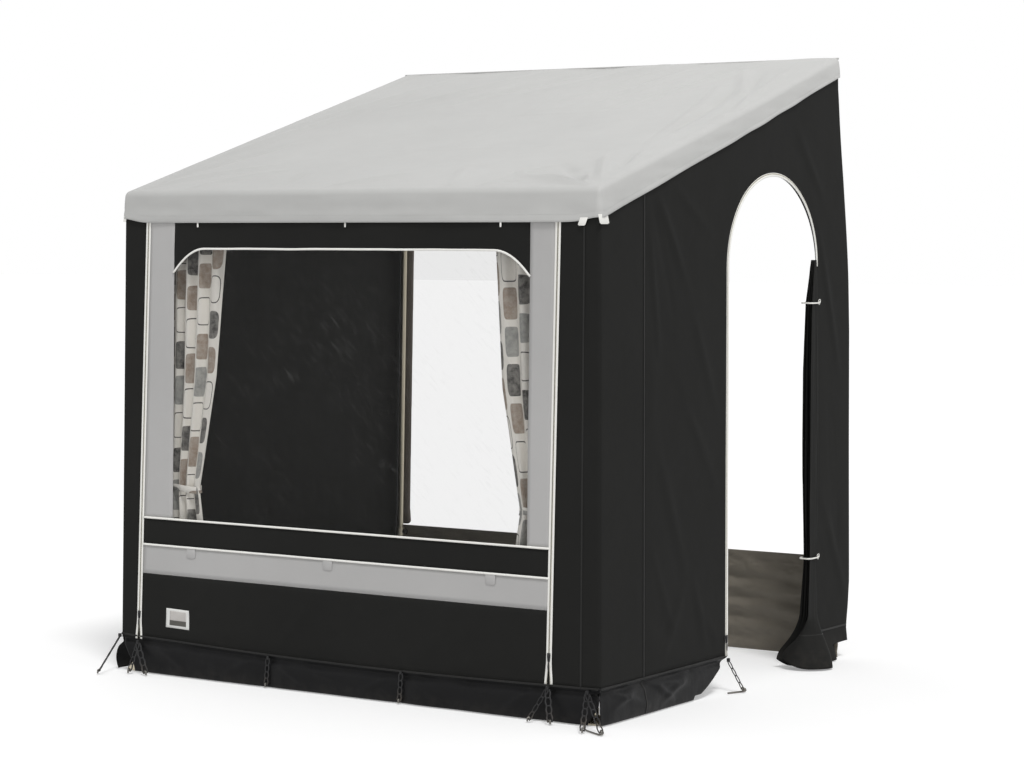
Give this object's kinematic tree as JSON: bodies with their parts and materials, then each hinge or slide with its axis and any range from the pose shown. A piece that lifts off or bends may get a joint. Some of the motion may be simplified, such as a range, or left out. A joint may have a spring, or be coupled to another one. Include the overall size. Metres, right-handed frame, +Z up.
{
  "type": "winter tent",
  "caption": "Lean-to porch tent with a sloping roof, clear front window, arched side door, ground skirts, telescopic legs and ladder straps, open at the back.",
  "frame": {"origin": "on the ground, in the middle of the footprint", "axes": "+X to the right across the front, +Y from the front wall to the open back, +Z up"},
  "size_m": [2.3024, 1.9452, 2.3773],
  "materials": {
    "roof_cloth": "matte",
    "dark_cloth": "matte",
    "grey_cloth": "matte",
    "mud_flap_vinyl": "satin",
    "window_film": "gloss",
    "zip_tape": "matte",
    "curtain_cloth": "matte",
    "draught_cloth": "satin",
    "pad_cloth": "matte",
    "galvanised_tube": "satin",
    "foot_metal": "satin",
    "black_plastic": "satin",
    "white_cord": "matte",
    "strap_rubber": "matte"
  },
  "bodies": {
    "tent": {"corner_joint_left": "black_plastic", "corner_joint_right": "black_plastic", "curtain_rail": "galvanised_tube", "door_zip": "zip_tape", "draught_skirt": "draught_cloth", "eaves_rail_left": "galvanised_tube", "eaves_rail_right": "galvanised_tube", "front_header": "dark_cloth", "front_lower_panel": "dark_cloth", "front_side_band_left": "grey_cloth", "front_side_band_right": "grey_cloth", "front_zip_left": "zip_tape", "front_zip_right": "zip_tape", "left_wall": "dark_cloth", "leg_front_left_upper": "galvanised_tube", "leg_front_right_upper": "galvanised_tube", "mud_flap_front": "mud_flap_vinyl", "mud_flap_left": "mud_flap_vinyl", "mud_flap_right": "mud_flap_vinyl", "pole_rear_left_upper": "galvanised_tube", "pole_rear_right_upper": "galvanised_tube", "rafter_left": "galvanised_tube", "rafter_right": "galvanised_tube", "rear_pad_left": "pad_cloth", "rear_pad_right": "pad_cloth", "right_wall_corner_panel": "dark_cloth", "right_wall_door_panel": "dark_cloth", "roof_canopy": "roof_cloth", "roof_keder": "roof_cloth", "roof_valance_front": "roof_cloth", "roof_valance_left": "roof_cloth", "roof_valance_right": "roof_cloth", "sill_band_dark": "dark_cloth", "sill_band_grey": "grey_cloth", "window_film": "window_film"},
    "leg_front_left": {"leg_front_left_lower": "foot_metal"},
    "leg_front_right": {"leg_front_right_lower": "foot_metal"},
    "leg_rear_left": {"pole_rear_left_lower": "galvanised_tube", "foot_rear_left": "foot_metal"},
    "leg_rear_right": {"pole_rear_right_lower": "galvanised_tube", "foot_rear_right": "foot_metal"},
    "clamp_screw_front_left": {"clamp_knob_front_left": "black_plastic"},
    "clamp_screw_front_right": {"clamp_knob_front_right": "black_plastic"},
    "clamp_screw_rear_left": {"clamp_knob_rear_left": "black_plastic"},
    "clamp_screw_rear_right": {"clamp_knob_rear_right": "black_plastic"},
    "zip_slider_left": {"zip_slider_left": "black_plastic"},
    "zip_slider_right": {"zip_slider_right": "black_plastic"},
    "door_slider": {"door_slider": "black_plastic"},
    "curtain_left": {"curtain_left": "curtain_cloth"},
    "curtain_right": {"curtain_right": "curtain_cloth"},
    "door_flap": {"door_flap": "dark_cloth", "door_tie_upper": "white_cord", "door_tie_lower": "white_cord"},
    "strap_middle_left": {"strap_middle_left": "strap_rubber"},
    "strap_middle_right": {"strap_middle_right": "strap_rubber"},
    "strap_zip_left": {"strap_zip_left": "strap_rubber"},
    "strap_zip_right": {"strap_zip_right": "strap_rubber"},
    "strap_corner_left": {"strap_corner_left": "strap_rubber"},
    "strap_corner_right": {"strap_corner_right": "strap_rubber"},
    "strap_door": {"strap_door": "strap_rubber"}
  },
  "joints": [
    {"name": "leg_front_left_slide", "type": "slide", "parent": "tent", "child": "leg_front_left", "axis": [-0.0238, 0, -0.9997], "range_m": [-0.08, 0.25]},
    {"name": "leg_front_right_slide", "type": "slide", "parent": "tent", "child": "leg_front_right", "axis": [-0.0005, 0, -1], "range_m": [-0.08, 0.25]},
    {"name": "leg_rear_left_slide", "type": "slide", "parent": "tent", "child": "leg_rear_left", "axis": [-0.0238, 0, -0.9997], "range_m": [-0.08, 0.25]},
    {"name": "leg_rear_right_slide", "type": "slide", "parent": "tent", "child": "leg_rear_right", "axis": [-0.0005, 0, -1], "range_m": [-0.08, 0.25]},
    {"name": "clamp_screw_front_left_turn", "type": "hinge", "parent": "tent", "child": "clamp_screw_front_left", "pos_m": [-1.07861, -0.79017, 0.6375], "axis": [1, 0, 0], "range_deg": [-360, 0]},
    {"name": "clamp_screw_front_right_turn", "type": "hinge", "parent": "tent", "child": "clamp_screw_front_right", "pos_m": [1.00965, -0.79017, 0.6375], "axis": [-1, 0, 0], "range_deg": [-360, 0]},
    {"name": "clamp_screw_rear_left_turn", "type": "hinge", "parent": "tent", "child": "clamp_screw_rear_left", "pos_m": [-1.0848, 0.91983, 0.3775], "axis": [1, 0, 0], "range_deg": [-360, 0]},
    {"name": "clamp_screw_rear_right_turn", "type": "hinge", "parent": "tent", "child": "clamp_screw_rear_right", "pos_m": [1.00952, 0.91983, 0.3775], "axis": [-1, 0, 0], "range_deg": [-360, 0]},
    {"name": "zip_slider_left_slide", "type": "slide", "parent": "tent", "child": "zip_slider_left", "axis": [0.0445, 0, 0.999], "range_m": [0, 1.45]},
    {"name": "zip_slider_right_slide", "type": "slide", "parent": "tent", "child": "zip_slider_right", "axis": [0.0262, 0, 0.9997], "range_m": [0, 1.45]},
    {"name": "door_slider_slide", "type": "slide", "parent": "tent", "child": "door_slider", "axis": [0, 0, 1], "range_m": [0, 1.34]},
    {"name": "curtain_left_slide", "type": "slide", "parent": "tent", "child": "curtain_left", "axis": [1, 0, 0], "range_m": [0, 0.55]},
    {"name": "curtain_right_slide", "type": "slide", "parent": "tent", "child": "curtain_right", "axis": [-1, 0, 0], "range_m": [0, 0.55]},
    {"name": "door_flap_swing", "type": "hinge", "parent": "tent", "child": "door_flap", "pos_m": [1.05527, 0.73483, 0.8], "axis": [0, 0, 1], "range_deg": [0, 90]},
    {"name": "strap_middle_left_swing", "type": "hinge", "parent": "tent", "child": "strap_middle_left", "pos_m": [-0.40412, -0.83597, 0.118], "axis": [-1, 0, 0], "range_deg": [0, 75]},
    {"name": "strap_middle_right_swing", "type": "hinge", "parent": "tent", "child": "strap_middle_right", "pos_m": [0.21177, -0.83597, 0.118], "axis": [-1, 0, 0], "range_deg": [0, 75]},
    {"name": "strap_zip_left_swing", "type": "hinge", "parent": "tent", "child": "strap_zip_left", "pos_m": [-1.04553, -0.83597, 0.125], "axis": [-1, 0, 0], "range_deg": [0, 75]},
    {"name": "strap_zip_right_swing", "type": "hinge", "parent": "tent", "child": "strap_zip_right", "pos_m": [0.84509, -0.83597, 0.125], "axis": [-1, 0, 0], "range_deg": [0, 75]},
    {"name": "strap_corner_left_swing", "type": "hinge", "parent": "tent", "child": "strap_corner_left", "pos_m": [-1.13622, -0.83597, 0.1443], "axis": [-1, 0, 0], "range_deg": [0, 75]},
    {"name": "strap_corner_right_swing", "type": "hinge", "parent": "tent", "child": "strap_corner_right", "pos_m": [1.00939, -0.83597, 0.125], "axis": [-1, 0, 0], "range_deg": [0, 75]},
    {"name": "strap_door_swing", "type": "hinge", "parent": "tent", "child": "strap_door", "pos_m": [1.05609, 0.04483, 0.123], "axis": [0, -1, 0], "range_deg": [0, 75]}
  ]
}
